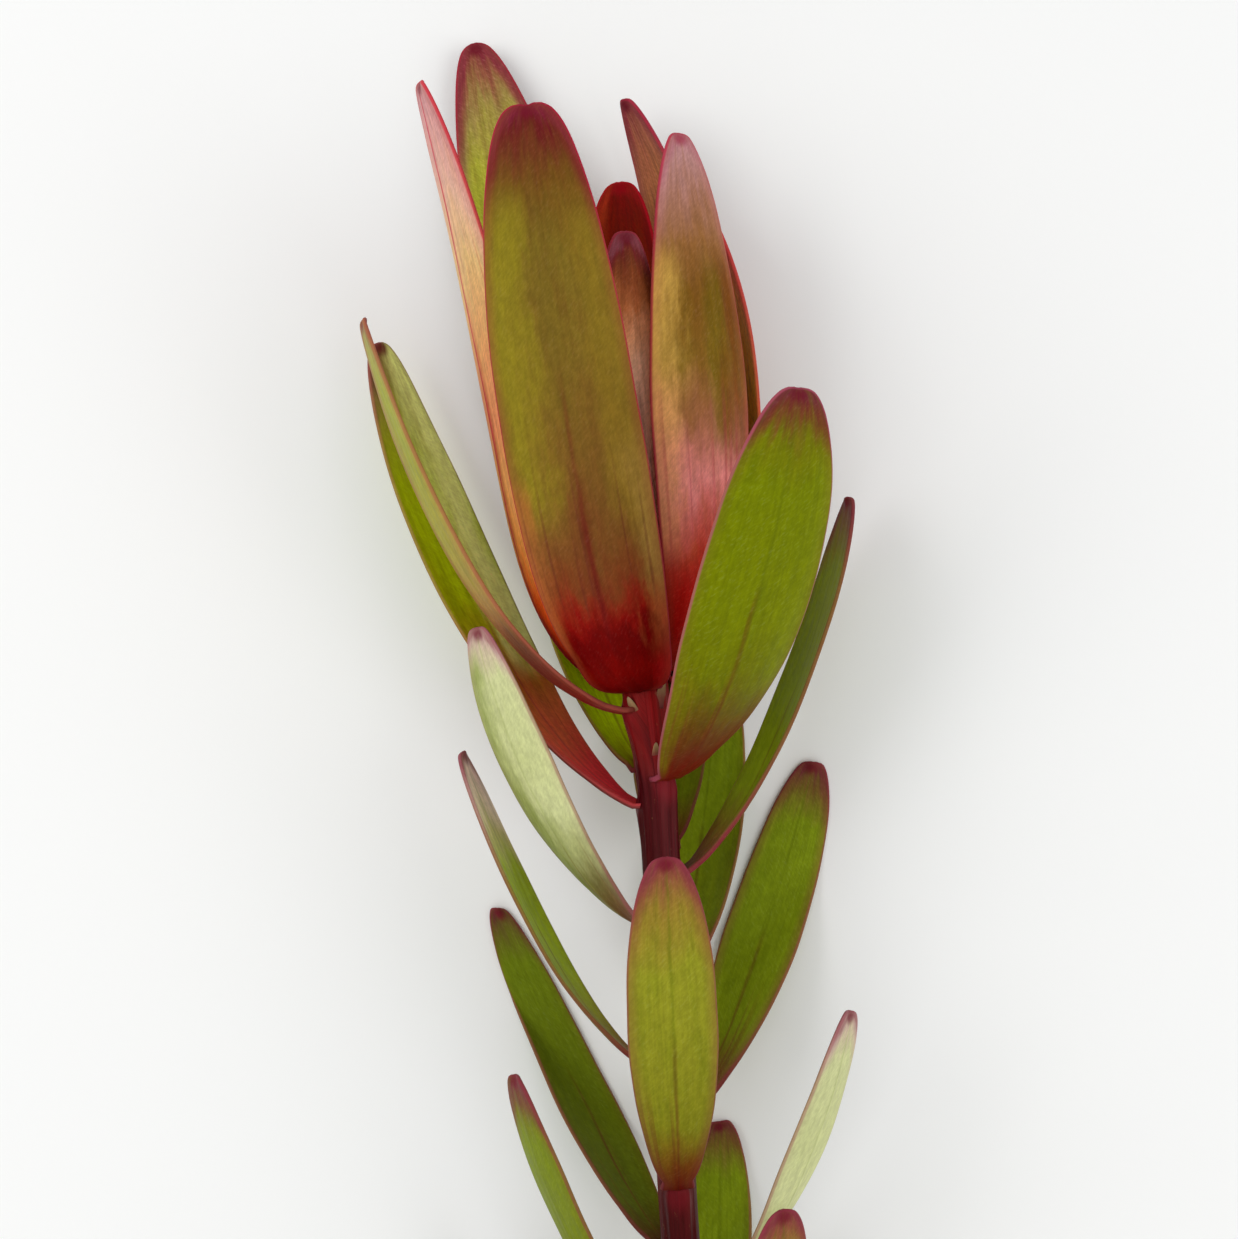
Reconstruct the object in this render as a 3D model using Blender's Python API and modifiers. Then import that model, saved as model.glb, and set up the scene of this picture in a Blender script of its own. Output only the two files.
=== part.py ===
"""A cut leucadendron stem, lying down.

A woody stem carries leathery leaves in a spiral and ends in a head: a small
scaly cone inside a cup of tall overlapping bracts. Leaves and bracts are the
same kind of blade, a curved sheet that leaves the stem, turns up along it and
ends in a blunt tip. Blades under the stem are pressed flat by the surface.

Metres, +Z up. The stem runs along +Y with its head at +Y, and the origin is on
the surface under the middle of the whole. Tables are in millimetres and
degrees. A blade's azimuth is measured round the stem from +Z towards +X.
"""

import math
from collections import namedtuple

import bmesh
import bpy
import numpy as np

MM = 0.001

# driving dimensions of the stem and the cone
stem_length = 385.0  # cut end to the foot of the head
cut_radius = 3.7
neck_radius = 2.75
receptacle_radius = 3.7
receptacle_height = 11.6
head_axis_height = 19.5  # the stem's axis above the surface at the head's foot
stem_arch = 2.5
neck_end = 14.0  # below this the stem leans away from the head's axis
neck_bend = 0.13
bend_reach = 160.0
cone_length = 19.0
cone_radius = 5.6
cone_gap = 0.4  # between the receptacle and the cone
cone_spirals = 8
cone_twist = 22.0  # how far a spiral turns from the cone's foot to its top
scale_relief = 0.13  # of the cone's radius
middle = (-0.63, -137.8)  # the middle of the whole seen from above, from the head's foot

# driving dimensions of every blade
blade_thickness = 0.9
blade_gap = 0.55  # from the stem to the middle of a blade's foot
tip_half_width = 0.5
flat_foot = 9.0  # a blade is nearly flat across where it starts, and takes its curve over this length
least_curl = 0.15
least_reach = 6.0  # a blade curls round the stem's axis as if it were at least this far from it
flat_share = 0.45  # of a blade's length, up to where it takes its own hug
twist_share = 0.625  # of a blade's length, up to where it has all its twist
press_softness = 2.5  # height over which a blade bends to lie on the surface

# bracts, from the outermost one inwards
first_bract_y = 0.4
bract_step = 0.85
first_bract_foot = 6.6
bract_foot_step = 0.22
bract_foot_angle = 82.0

# leaves
leaf_hug = 0.8
leaf_rise = 0.6
leaf_fall = 0.5
leaf_foot_width = 4.2
golden_angle = 137.5
spiral_leaves = 20
spiral_start = -66.0
leaf_pitch = 9.6
spiral_length = 60.0
spiral_width = 13.2
spiral_taper = 0.012  # each leaf down the spiral is this much smaller
spiral_foot_angle = 58.0
spiral_mid_angle = 30.0
spiral_tip_angle = 16.0
spiral_turn = 9.0

# colours, linear
stem_red = (0.10, 0.012, 0.018, 1)
bract_olive = (0.21, 0.13, 0.02, 1)
bract_red = (0.42, 0.035, 0.03, 1)
leaf_green = (0.17, 0.25, 0.02, 1)
cone_green = (0.35, 0.33, 0.06, 1)

Blade = namedtuple(
    "Blade",
    "name azimuth foot_y length width foot mid tip turn lean twist hug rise fall foot_width",
)


# the stem's centreline


def axis_point(y):
    """A point of the stem's axis, in millimetres, for a distance y from the head's foot towards its tip."""
    along = y / stem_length + 1.0
    below = max(0.0, -neck_end - y)
    x = -neck_bend * below**2 / (below + neck_end) * math.exp(-below / bend_reach)
    z = cut_radius + (head_axis_height - cut_radius) * along + stem_arch * math.sin(math.pi * along)
    return np.array([x, y, z])


def axis_frame(y):
    """The axis point with the unit vectors along the stem, up from it and to its right."""
    along = axis_point(y + 0.5) - axis_point(y - 0.5)
    along /= np.linalg.norm(along)
    right = np.cross(along, (0.0, 0.0, 1.0))
    right /= np.linalg.norm(right)
    up = np.cross(right, along)
    return axis_point(y), along, up, right


def stem_radius(y):
    """The stem thins from its cut end to the neck and swells into the receptacle that carries the head."""
    along = (y + stem_length) / stem_length
    woody = cut_radius + (neck_radius - cut_radius) * min(along, 1.0)
    swell = (receptacle_radius - neck_radius) * math.exp(-(((y - 3.0) / 9.0) ** 2))
    return woody + swell


# blades: leaves and bracts


def smooth_step(value):
    """0 up to 0, 1 from 1 on, and a smooth rise between."""
    value = np.clip(value, 0.0, 1.0)
    return value**2 * (3 - 2 * value)


def half_width(blade, shares):
    """Half a blade's width over its length: share^rise times (1 - share)^fall, scaled to its widest place."""
    widest = blade.rise / (blade.rise + blade.fall)
    peak = widest**blade.rise * (1 - widest) ** blade.fall
    half = blade.width / 2 * shares**blade.rise * (1 - shares) ** blade.fall / peak
    return np.maximum(half, blade.foot_width / 2 * (1 - shares) ** 3) + tip_half_width


def pressed(height):
    """Heights kept half a thickness above the surface, with a parabola where a blade comes down to it."""
    low, soft = blade_thickness / 2, press_softness
    bend = low + (height - low + soft) ** 2 / (4 * soft)
    return np.where(height < low - soft, low, np.where(height > low + soft, height, bend))


def blade_points(blade, across, shares):
    """A blade's middle surface in millimetres, as rows along it and points across it.

    Its centreline opens from the stem by the foot angle, settles to the middle angle over the turn, and ends
    at the tip angle. Each section is an arc whose curvature is hug over the distance from the stem's axis.
    """
    fine = np.linspace(0.0, 1.0, 241)
    opening = blade.mid + (blade.tip - blade.mid) * fine**2
    opening = np.radians(opening + (blade.foot - blade.mid) * np.exp(-fine * blade.length / blade.turn))
    sideways = np.radians(blade.lean) * fine

    origin, along, up, right = axis_frame(blade.foot_y)
    azimuth = math.radians(blade.azimuth)
    out = math.cos(azimuth) * up + math.sin(azimuth) * right
    side = np.cross(along, out)
    heading = (
        np.outer(np.cos(opening) * np.cos(sideways), along)
        + np.outer(np.sin(opening) * np.cos(sideways), out)
        + np.outer(np.sin(sideways), side)
    )
    step = blade.length / (len(fine) - 1)
    foot = origin + out * (stem_radius(blade.foot_y) + blade_gap)
    middle = foot + np.vstack([np.zeros(3), np.cumsum((heading[1:] + heading[:-1]) / 2 * step, axis=0)])
    reach = (middle - origin) @ out

    def at(values):
        return np.stack([np.interp(shares, fine, column) for column in values.T], axis=1)

    heading, middle = at(heading), at(middle)
    reach = np.interp(shares, fine, reach)
    edge = side - heading * (heading @ side)[:, None]
    edge /= np.linalg.norm(edge, axis=1)[:, None]
    outward = np.cross(edge, heading)
    twist = np.radians(blade.twist) * np.sin(np.minimum(shares / twist_share, 1.0) * math.pi / 2)[:, None]
    straight_edge = edge
    edge = straight_edge * np.cos(twist) + outward * np.sin(twist)
    outward = outward * np.cos(twist) - straight_edge * np.sin(twist)

    hug = 1.0 + (blade.hug - 1.0) * smooth_step(shares / flat_share)
    hug *= least_curl + (1 - least_curl) * smooth_step(shares * blade.length / flat_foot)
    curl = hug / np.maximum(reach, least_reach)
    angle = (curl * half_width(blade, shares))[:, None] * across[None, :]
    sidewards = np.sin(angle) / curl[:, None]
    inward = (1 - np.cos(angle)) / curl[:, None]
    grid = middle[:, None] + sidewards[..., None] * edge[:, None] - inward[..., None] * outward[:, None]
    grid[..., 2] = pressed(grid[..., 2])
    return grid


def add_material(obj, colour, roughness):
    material = bpy.data.materials.new(obj.name)
    material.use_nodes = True
    shader = material.node_tree.nodes["Principled BSDF"]
    shader.inputs["Base Color"].default_value = colour
    shader.inputs["Roughness"].default_value = roughness
    shader.inputs["Metallic"].default_value = 0.0
    obj.data.materials.append(material)


def grid_mesh(name, grid, wrap=False):
    """A mesh of quads through a grid of points in millimetres. With wrap, each row closes on itself."""
    rows, columns = grid.shape[:2]
    points = grid.reshape(-1, 3) - np.array([*middle, 0.0])
    down = np.arange(rows - 1)[:, None] * columns
    over = np.arange(columns if wrap else columns - 1)[None, :]
    beside = (over + 1) % columns
    quads = np.stack([down + over, down + beside, down + columns + beside, down + columns + over], axis=-1)
    mesh = bpy.data.meshes.new(name)
    mesh.from_pydata((points * MM).tolist(), [], quads.reshape(-1, 4).tolist())
    return mesh


def add_object(name, mesh, collection, colour, roughness):
    obj = bpy.data.objects.new(name, mesh)
    collection.objects.link(obj)
    add_material(obj, colour, roughness)
    mesh.shade_smooth()
    return obj


def add_blade(blade, collection, colour, across_cells, along_cells):
    """An open curved sheet, given its thickness by Solidify."""
    across = np.linspace(-1.0, 1.0, across_cells + 1)
    even = np.linspace(0.0, 1.0, along_cells + 1)
    shares = even - 0.085 * np.sin(2 * math.pi * even)
    grid = blade_points(blade, across, shares)
    obj = add_object(blade.name, grid_mesh(blade.name, grid), collection, colour, 0.45)
    wall = obj.modifiers.new("thickness", "SOLIDIFY")
    wall.thickness = blade_thickness * MM
    wall.offset = 0.0
    wall.use_even_offset = True


# the head's bracts, outermost first


def bracts():
    """Bracts stand in nested shells: each further in starts higher on the receptacle."""
    rows = [
        # name, azimuth, length, width, mid, tip, turn, lean, twist, hug, rise, fall
        ("bract_front", -17.5, 91.5, 20.7, 12, 3.5, 9.2, 2.5, -12, 0.97, 0.28, 0.38),
        ("bract_right_rear", 119.5, 84, 20, 16.5, -20, 8.7, 0, 0, 0.8, 0.35, 0.5),
        ("bract_left", -80, 99, 22, 2.2, 8.8, 10.1, 8, -6.5, 1.1, 0.42, 0.54),
        ("bract_right", 59.5, 84.5, 18.8, 5.5, -1, 7.7, -1, 22, 0.62, 0.42, 0.59),
        ("bract_under", 184, 82, 19, 15.5, -11, 7.2, 0, 0, 1.0, 0.38, 0.5),
        ("bract_inner_left", -45, 70, 14, 2.5, 0, 6.7, 0, 0, 1.0, 0.44, 0.5),
        ("bract_back_right", 120, 95.3, 17, 12.5, -19.5, 6.2, 8.7, 0, 0.85, 0.42, 0.6),
        ("bract_back_left", -155, 107, 19.5, 8, 5, 5.7, 6, 24, 0.7, 0.35, 0.5),
        ("bract_inner_front", 21.5, 64, 13, 0.5, 10, 5.2, 0, 0, 0.9, 0.4, 0.52),
        ("bract_inner_right", 94, 60, 9.5, 4.4, 0, 4.7, 0, 0, 1.0, 0.44, 0.5),
        ("bract_small_left", -88, 58, 12, 2.5, 0, 4.2, 0, 0, 1.0, 0.42, 0.5),
        ("bract_small_right", 54, 50, 10.5, 1, 0, 3.7, 0, 0, 1.0, 0.44, 0.5),
        ("bract_inner_back", 165, 73, 16, 4.5, 3, 3.2, -4.5, 0, 0.9, 0.4, 0.48),
    ]
    found = []
    for rank, (name, azimuth, length, width, *course) in enumerate(rows):
        foot_y = first_bract_y + bract_step * rank
        foot_width = first_bract_foot - bract_foot_step * rank
        found.append(Blade(name, azimuth, foot_y, length, width, bract_foot_angle, *course, foot_width))
    return found


# the stem's leaves, from the head down


def leaves():
    """The leaves beside the head are placed one by one, and those below follow a golden-angle spiral."""
    rows = [
        # azimuth, foot_y, length, width, foot, mid, tip, turn, lean, twist
        (-76, -2.6, 75, 12, 76, 20, 6.5, 16.3, 1, 0),
        (140, -4.0, 60, 12.5, 66, 26, 10, 10, 0, 0),
        (-155, -12.0, 58, 12.5, 66, 24, 10, 10, 0, 0),
        (32, -13.5, 69, 18.3, 78, 36.5, 17.5, 13, 5.5, 10),
        (-108, -17.5, 87, 14, 66, 24.5, 10, 13, 3, 26),
        (171, -24.5, 43, 12, 54, 22, 8, 10, 0, 0),
        (104, -28.0, 66, 14, 62, 27, 12, 10, 0, 0),
        (-68, -35.5, 54, 13, 66, 26.5, 11, 10, 0, -17),
        (158, -45.0, 54, 13.5, 58, 26, 10, 9, 0, 0),
        (-88, -57.0, 57, 10.5, 60, 23, 17, 11, 0, 13),
    ]
    rng = np.random.default_rng(7)
    last_azimuth = rows[-1][0]
    for number in range(spiral_leaves):
        vary = rng.uniform(-1.0, 1.0, 7)
        azimuth = (last_azimuth - golden_angle * (number + 1) + 9 * vary[0] + 180) % 360 - 180
        foot_y = spiral_start - leaf_pitch * number + 1.2 * vary[1]
        size = 1.0 - spiral_taper * number
        length = (spiral_length + 6 * vary[2]) * size
        width = (spiral_width + 1.3 * vary[3]) * size
        foot = spiral_foot_angle + 6 * vary[4]
        mid = spiral_mid_angle + 6 * vary[5]
        tip = spiral_tip_angle + 9 * vary[5]
        rows.append((azimuth, foot_y, length, width, foot, mid, tip, spiral_turn, 0, 22 * vary[6]))
    shape = (leaf_hug, leaf_rise, leaf_fall, leaf_foot_width)
    return [Blade(f"leaf_{number:02d}", *row, *shape) for number, row in enumerate(rows, start=1)]


# stem and cone


def add_stem(collection):
    """A tapering tube along the axis, closed at its cut end and at the receptacle's top."""
    stations = np.concatenate([np.linspace(-stem_length, -20.0, 20), np.linspace(-12.0, receptacle_height, 5)])
    curve = bpy.data.curves.new("stem", "CURVE")
    curve.dimensions = "3D"
    curve.bevel_depth = MM
    curve.bevel_resolution = 4
    curve.use_fill_caps = True
    spline = curve.splines.new("POLY")
    spline.points.add(len(stations) - 1)
    for point, y in zip(spline.points, stations):
        place = (axis_point(y) - np.array([*middle, 0.0])) * MM
        point.co = (*place, 1.0)
        point.radius = stem_radius(y)
    obj = bpy.data.objects.new("stem", curve)
    collection.objects.link(obj)
    add_material(obj, stem_red, 0.5)


def add_cone(collection):
    """An egg of scales: its radius is a turned profile times a lattice of diamonds on crossing spirals."""
    turns = np.linspace(0.0, 2 * math.pi, 40, endpoint=False)
    shares = np.linspace(0.0, 1.0, 19)
    around, height = np.meshgrid(turns, shares)
    profile = np.sin(math.pi * np.clip(height, 0.03, 0.97) ** 0.8) ** 0.6
    rising = np.sin((cone_spirals * around + cone_twist * height) / 2)
    falling = np.sin((cone_spirals * around - cone_twist * height) / 2)
    radius = cone_radius * profile * (1.0 + scale_relief * np.abs(rising * falling))
    origin, along, up, right = axis_frame(receptacle_height + cone_gap)
    grid = origin + (cone_length * height)[..., None] * along
    grid = grid + (radius * np.cos(around))[..., None] * up + (radius * np.sin(around))[..., None] * right
    mesh = grid_mesh("cone", grid, wrap=True)
    cone = bmesh.new()
    cone.from_mesh(mesh)
    bmesh.ops.holes_fill(cone, edges=[edge for edge in cone.edges if edge.is_boundary])
    bmesh.ops.recalc_face_normals(cone, faces=cone.faces)
    cone.to_mesh(mesh)
    cone.free()
    add_object("cone", mesh, collection, cone_green, 0.6)


def main():
    for old in list(bpy.data.objects):
        bpy.data.objects.remove(old)
    collection = bpy.data.collections.new("leucadendron_stem")
    bpy.context.scene.collection.children.link(collection)
    add_stem(collection)
    add_cone(collection)
    for blade in bracts():
        colour = bract_red if "inner" in blade.name else bract_olive
        add_blade(blade, collection, colour, across_cells=6, along_cells=12)
    for blade in leaves():
        add_blade(blade, collection, leaf_green, across_cells=4, along_cells=10)


main()
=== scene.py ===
import math

import bpy
import numpy as np
from mathutils import Matrix, Vector


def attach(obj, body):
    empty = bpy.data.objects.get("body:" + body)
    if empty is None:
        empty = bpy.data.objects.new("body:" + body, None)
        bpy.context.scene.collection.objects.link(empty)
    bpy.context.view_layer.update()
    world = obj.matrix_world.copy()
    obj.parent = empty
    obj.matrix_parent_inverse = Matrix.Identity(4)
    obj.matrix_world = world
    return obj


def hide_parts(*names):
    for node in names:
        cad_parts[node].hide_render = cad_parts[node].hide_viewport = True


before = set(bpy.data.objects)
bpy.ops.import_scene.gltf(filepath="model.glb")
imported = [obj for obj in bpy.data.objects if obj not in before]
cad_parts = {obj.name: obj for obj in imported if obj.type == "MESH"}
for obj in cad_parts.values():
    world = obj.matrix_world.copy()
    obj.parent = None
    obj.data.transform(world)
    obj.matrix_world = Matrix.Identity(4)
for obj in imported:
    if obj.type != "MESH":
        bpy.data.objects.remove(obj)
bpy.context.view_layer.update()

# A cut leucadendron stem lying on a pale table, seen from above.
# Every CAD node is replaced by a finer piece in the same place. Lengths are in millimetres from the
# foot of the head, azimuths in degrees round the stem from +Z towards +X, and meshes in metres.

mm = 0.001
imageWidth, imageHeight = 1238, 1239


def linearColour(code):
    # sRGB hex to linear: c / 12.92 up to 0.04045, and ((c + 0.055) / 1.055) to the power 2.4 above
    parts = [int(code[i:i + 2], 16) / 255 for i in (1, 3, 5)]
    return (*[c / 12.92 if c <= 0.04045 else ((c + 0.055) / 1.055) ** 2.4 for c in parts], 1.0)


def smoothStep(value):
    # 0 up to 0, 1 from 1 on, and 3 v^2 - 2 v^3 between
    value = np.clip(value, 0.0, 1.0)
    return value**2 * (3 - 2 * value)


def bell(distance, width):
    # 1 at no distance, falling as exp(-(distance / width)^2)
    return np.exp(-((distance / width) ** 2))


# the stem's course, the same curve as the CAD stem

stemShape = {
    "length": 385.0,
    "cutRadius": 3.7,
    "neckRadius": 2.75,
    "receptacleRadius": 3.7,
    "receptaclePlace": 3.0,
    "receptacleReach": 9.0,  # over which it swells
    "receptacleTop": 11.6,
    "headHeight": 19.5,  # of the axis above the table at the head's foot
    "arch": 2.5,
    "neckEnd": 14.0,
    "bend": 0.13,
    "bendReach": 160.0,
    "middle": (-0.63, -137.8),  # the frame's origin from the head's foot
    "rows": 520,
    "columns": 96,
    "closing": (0.02, 0.25, 0.5, 0.75, 0.9, 0.97),  # sizes of the rings that close an end
    "bevel": (0.04, 0.6),  # share of the radius lost at the cut, and its reach
    "cushion": 0.75,  # swelling under each leaf
    "cushionReach": (2.1, 4.2, 1.3),  # to either side, downwards and upwards
    "ridge": 0.3,  # two ridges that run down from each leaf
    "ridgePlace": (1.5, 0.55),  # from the leaf's middle line, and half width
    "ridgeStart": 2.0,  # mm below the leaf over which they rise
    "ridgeLength": 26.0,
    "furrow": 0.3,  # depth of the bark's lengthwise furrows, over their number
    "furrows": (5, 9, 14),  # numbers of furrows round the stem
    "furrowDrift": 0.02,  # radians a millimetre
    "furrowSeed": 3,
    "plainTop": 6.0,  # mm over which the relief dies out under the receptacle's top
    "tableGap": 0.05,  # the bark's least height
}


def axisPoint(y):
    # x leans away below the neck as bend * below^2 / (below + neckEnd), dying out over bendReach;
    # z climbs evenly from the cut end to the head, plus half a sine for the arch
    shape = stemShape
    along = y / shape["length"] + 1.0
    below = np.maximum(0.0, -shape["neckEnd"] - y)
    x = -shape["bend"] * below**2 / (below + shape["neckEnd"]) * np.exp(-below / shape["bendReach"])
    z = shape["cutRadius"] + (shape["headHeight"] - shape["cutRadius"]) * along
    return np.stack([x, y, z + shape["arch"] * np.sin(math.pi * along)], axis=-1)


def axisFrame(y):
    # the axis point, and unit vectors along the stem, up from it and to its right, from the points half a
    # millimetre to either side
    along = axisPoint(y + 0.5) - axisPoint(y - 0.5)
    along = along / np.linalg.norm(along, axis=-1, keepdims=True)
    right = np.cross(along, (0.0, 0.0, 1.0))
    right = right / np.linalg.norm(right, axis=-1, keepdims=True)
    return axisPoint(y), along, np.cross(right, along), right


def stemRadius(y):
    # straight taper from the cut end to the neck, plus a bell that swells into the receptacle
    shape = stemShape
    along = np.minimum((y + shape["length"]) / shape["length"], 1.0)
    woody = shape["cutRadius"] + (shape["neckRadius"] - shape["cutRadius"]) * along
    swelling = bell(y - shape["receptaclePlace"], shape["receptacleReach"])
    return woody + (shape["receptacleRadius"] - shape["neckRadius"]) * swelling


# meshes and nodes


def sideBySide(*values):
    # arrays that spread over one grid, as the last axis of one array
    return np.stack(np.broadcast_arrays(*values), axis=-1)


def addPiece(name, points, faces, material, slot, nodes=(), **attributes):
    # one smooth mesh from points in millimetres, moved into the frame, riding on the one body
    mesh = bpy.data.meshes.new(name)
    points = (points.reshape(-1, 3) - np.array([*stemShape["middle"], 0.0])) * mm
    mesh.from_pydata(points.tolist(), [], faces)
    for label, values in attributes.items():
        layer = mesh.attributes.new(label, "FLOAT_VECTOR", "POINT")
        layer.data.foreach_set("vector", values.astype(np.float32).ravel())
    mesh.shade_smooth()
    mesh.materials.append(material)
    piece = bpy.data.objects.new(name, mesh)
    bpy.context.scene.collection.objects.link(piece)
    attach(piece, "root")
    if nodes:
        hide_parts(*nodes)


def closedTube(rows, columns):
    # faces of a grid whose rows close on themselves: quads down the wall, and over each end a strip of
    # quads that joins column j to column -j, with a triangle at each end of the strip
    half = columns // 2
    last = (rows - 1) * columns
    start = np.arange(rows - 1)[:, None] * columns
    here = start + np.arange(columns)
    after = start + (np.arange(columns) + 1) % columns
    wall = np.stack([here, after, after + columns, here + columns], axis=-1)
    near = np.arange(1, half - 1)
    strip = np.stack([near, columns - near, columns - near - 1, near + 1], axis=-1)
    corners = np.array([[0, columns - 1, 1], [half, half - 1, half + 1]])
    lids = [*strip, *corners, *(strip[:, ::-1] + last), *(corners[:, ::-1] + last)]
    return wall.reshape(-1, 4).tolist() + [lid.tolist() for lid in lids]


def addNode(tree, kind, *inputs, out=0, stops=(), **settings):
    # adds a shader node with its settings, then links or sets its open inputs in order, with hex codes for
    # colours, fills a ramp's (share, hex) stops, and returns one of the open outputs
    node = tree.nodes.new("ShaderNode" + kind)
    for name, value in settings.items():
        setattr(node, name, value)
    for socket, value in zip([socket for socket in node.inputs if socket.enabled], inputs):
        if isinstance(value, bpy.types.NodeSocket):
            tree.links.new(value, socket)
        elif value is not None:
            socket.default_value = linearColour(value) if isinstance(value, str) else value
    for _ in range(len(stops) - 2):
        node.color_ramp.elements.new(0.5)
    for index, (share, code) in enumerate(stops):
        node.color_ramp.elements[index].position = share
        node.color_ramp.elements[index].color = linearColour(code)
    return [socket for socket in node.outputs if socket.enabled][out]


def finishMaterial(name, build, **values):
    # a Principled material: build(tree) returns the outputs to link by socket name, and values are set
    # on the shader's own sockets
    material = bpy.data.materials.new(name)
    material.use_nodes = True
    shader = material.node_tree.nodes["Principled BSDF"]
    for socket, output in build(material.node_tree).items():
        material.node_tree.links.new(output, shader.inputs[socket])
    for socket, value in values.items():
        shader.inputs[socket].default_value = linearColour(value) if isinstance(value, str) else value
    return material


smooth = {"interpolation_type": "SMOOTHSTEP"}
product = {"operation": "MULTIPLY"}
productSum = {"operation": "MULTIPLY_ADD"}
tint = {"data_type": "RGBA", "clamp_result": False}
shade = {**tint, "blend_type": "MULTIPLY"}
noiseSpan = (0.3, 0.7)  # the values that most of a noise lies between


def stretchedNoise(tree, place, cells, detail, roughness, offset=(0.0, 0.0, 0.0)):
    # noise with so many cells a millimetre each way, moved by an offset in cells
    spread = addNode(tree, "VectorMath", place, cells, offset, **productSum)
    return addNode(tree, "TexNoise", spread, 1.0, detail, roughness)


def window(tree, value, low, start, end, high):
    # 1 from start to end, and smoothly down to 0 at low and at high
    rises = addNode(tree, "MapRange", value, low, start, 0.0, 1.0, **smooth)
    falls = addNode(tree, "MapRange", value, end, high, 1.0, 0.0, **smooth)
    return addNode(tree, "Math", rises, falls, **product)


def shaded(tree, colour, noise, low, high, **settings):
    # the colour times a factor that goes from low to high over the noise's span
    factor = addNode(tree, "MapRange", noise, *noiseSpan, low, high, **settings)
    return addNode(tree, "Mix", 1.0, colour, factor, **shade)


def tinted(tree, colour, code, value, low, high, first, last, part=None):
    # the colour mixed with another: the second one's share goes from first to last as the value goes from
    # low to high, and is multiplied by the part where one is given
    share = addNode(tree, "MapRange", value, low, high, first, last, **smooth)
    if part is not None:
        share = addNode(tree, "Math", share, part, **product)
    return addNode(tree, "Mix", share, colour, code, **tint)


# Leaf and bract tissue: leathery blades with a waxy skin and short flat hairs. The wax gives a broad soft
# gleam, the hairs a fine slanted grain and pale streaks, partly their own pale colour and partly a painted
# sheen, and the veins lengthwise lines that close in on the foot and the tip. Red pigment gathers at the
# margin, round the callous tip and towards the foot.

tissue = {
    # noise cells a millimetre across and along the blade and from face to face, detail, roughness
    "patterns": {
        "patch": ((0.22, 0.06, 1.0), 5.0, 0.62),  # patches 4.5 mm wide and 16 mm long, with ragged edges
        "blush": ((0.5, 0.09, 1.0), 5.0, 0.7),  # clouds of a second colour, 2 mm wide and 11 mm long
        "vein": ((1.9, 0.04, 1.0), 3.0, 0.6),  # veins 0.5 mm apart, a little coarse so that they show
        "fan": ((1.0, 0.016, 1.0), 1.5, 0.5),  # dark streaks 1 mm apart near the foot
        "mottle": ((0.9, 0.4, 1.0), 4.0, 0.7),  # cloudy spots of 1 to 2 mm
    },
    "hair": ((3.6, 1.0, 1.0), 2.0, 0.6),  # hairs 0.28 mm apart and 1 mm long
    "hairSlant": 0.7,
    "faceStep": 20.0,  # cells from the outer face's patterns to the inner face's
    "pieceStep": (3.7, 1.3, 0.0),  # cells from one piece's patterns to the next one's
    "pullWidth": 2.4,  # mm of the margin where the tip's colours reach further down
    "pullShares": (0.4, 0.9),  # of the length, where they begin to and where they fully do
    "blushSpan": (0.42, 0.68),  # of the noise, from no cloud to a full one
    "blushShares": (0.18, 0.36),  # the red foot has no clouds
    "bandSway": 0.3,  # share of its width by which the patches move a band
    "bandEnd": 0.1,  # share of the length over which a band fades out
    "fanSpan": (0.56, 0.7),  # of the noise
    "fanStart": (-0.06, 0.04),  # shares of the length round the fan's first share
    "fanEnd": 0.2,
    "mottle": 0.1,  # depth of the cloudy spots
    "silkSpan": (0.55, 0.75),  # of the hairs' noise, for the pale ones
    "halo": (0.2, 2.2),  # mm from the margin over which its colour fades
    "marginLine": (0.14, 0.448),  # mm from the margin over which its saturated line ends
    "callusPlace": 1.3,  # mm from the tip to the middle of the callus
    "callus": (0.38, 1.9),  # mm from its middle over which its colour fades
    "hairHeight": 0.5,  # of the hairs beside the veins
    "bump": (0.5, 0.00008),  # strength, and height in metres
    "roughness": (0.4, 0.56),
    "shader": {"IOR": 1.45, "Specular IOR Level": 0.08, "Specular Tint": "#ffe8b4"},
}


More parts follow.
